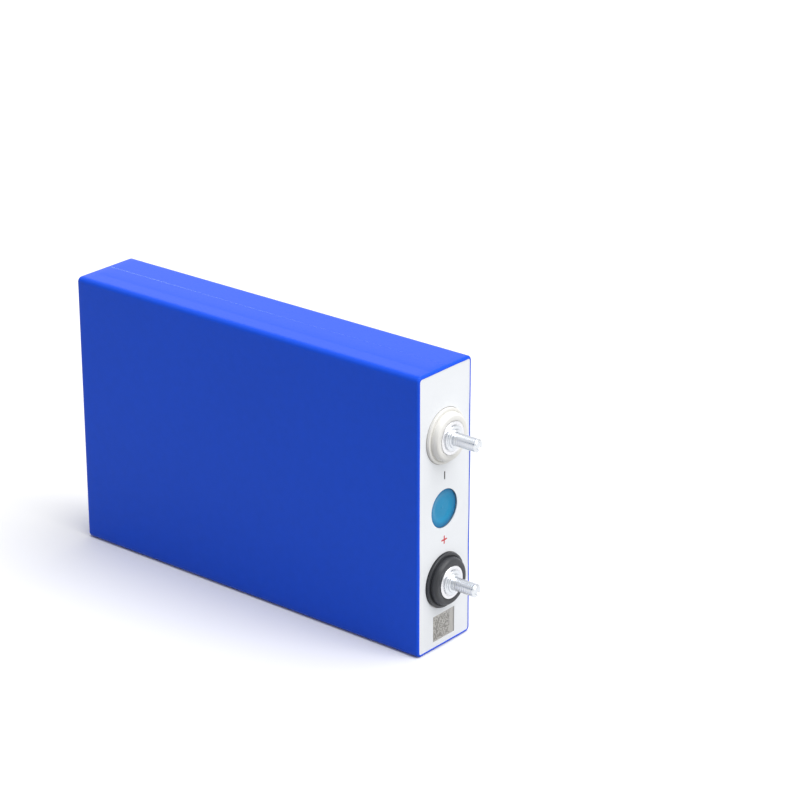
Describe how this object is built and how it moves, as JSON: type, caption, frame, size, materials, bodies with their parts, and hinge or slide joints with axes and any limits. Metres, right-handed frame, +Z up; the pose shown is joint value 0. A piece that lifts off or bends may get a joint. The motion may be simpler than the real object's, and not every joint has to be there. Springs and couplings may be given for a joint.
{
  "type": "prismatic battery cell",
  "caption": "Flat rectangular rechargeable cell in a blue film wrap, with threaded stud terminals on stepped plastic seats and a round vent on its lid.",
  "frame": {"origin": "centre of the whole part's footprint, at the narrow side it rests on", "axes": "+X out of the terminal face along the studs, Y through the cell's thickness, +Z up along the cell's width"},
  "size_m": [0.2186, 0.0364, 0.1304],
  "materials": {
    "blue_film": "glossy, slightly translucent PET film",
    "vent_film": "glossy thin film",
    "white_sheet": "satin",
    "ivory_plastic": "satin moulded",
    "black_plastic": "satin moulded",
    "aluminium": "plain rolled",
    "bright_aluminium": "turned, satin to bright",
    "copper": "plain copper",
    "gasket": "matte",
    "inner_plastic": "moulded polypropylene",
    "separator": "matte porous film",
    "anode_foil": "matte graphite coating",
    "cathode_foil": "matte phosphate coating",
    "tape": "thin adhesive tape"
  },
  "bodies": {
    "root": {"film_wrap": "blue_film", "base_patch": "inner_plastic", "can": "aluminium", "lid": "aluminium", "lid_sheet": "white_sheet", "vent_disc": "aluminium", "vent_film": "vent_film", "vent_grille": "inner_plastic", "fill_plug": "gasket", "fill_cap": "aluminium", "negative_seat": "ivory_plastic", "positive_seat": "black_plastic", "negative_cap": "bright_aluminium", "positive_cap": "bright_aluminium", "negative_pole": "copper", "positive_pole": "aluminium", "negative_gasket": "gasket", "positive_gasket": "gasket", "negative_stud": "bright_aluminium", "positive_stud": "bright_aluminium", "negative_lower_insulator": "inner_plastic", "positive_lower_insulator": "inner_plastic", "negative_collector": "copper", "positive_collector": "aluminium", "negative_tab_foils": "copper", "positive_tab_foils": "aluminium", "negative_weld_tape": "tape", "positive_weld_tape": "tape", "front_roll_separator": "separator", "back_roll_separator": "separator", "front_roll_anode": "anode_foil", "back_roll_anode": "anode_foil", "front_roll_cathode": "cathode_foil", "back_roll_cathode": "cathode_foil", "roll_end_tapes": "tape", "core_bag": "inner_plastic", "base_support": "inner_plastic"}
  },
  "joints": []
}
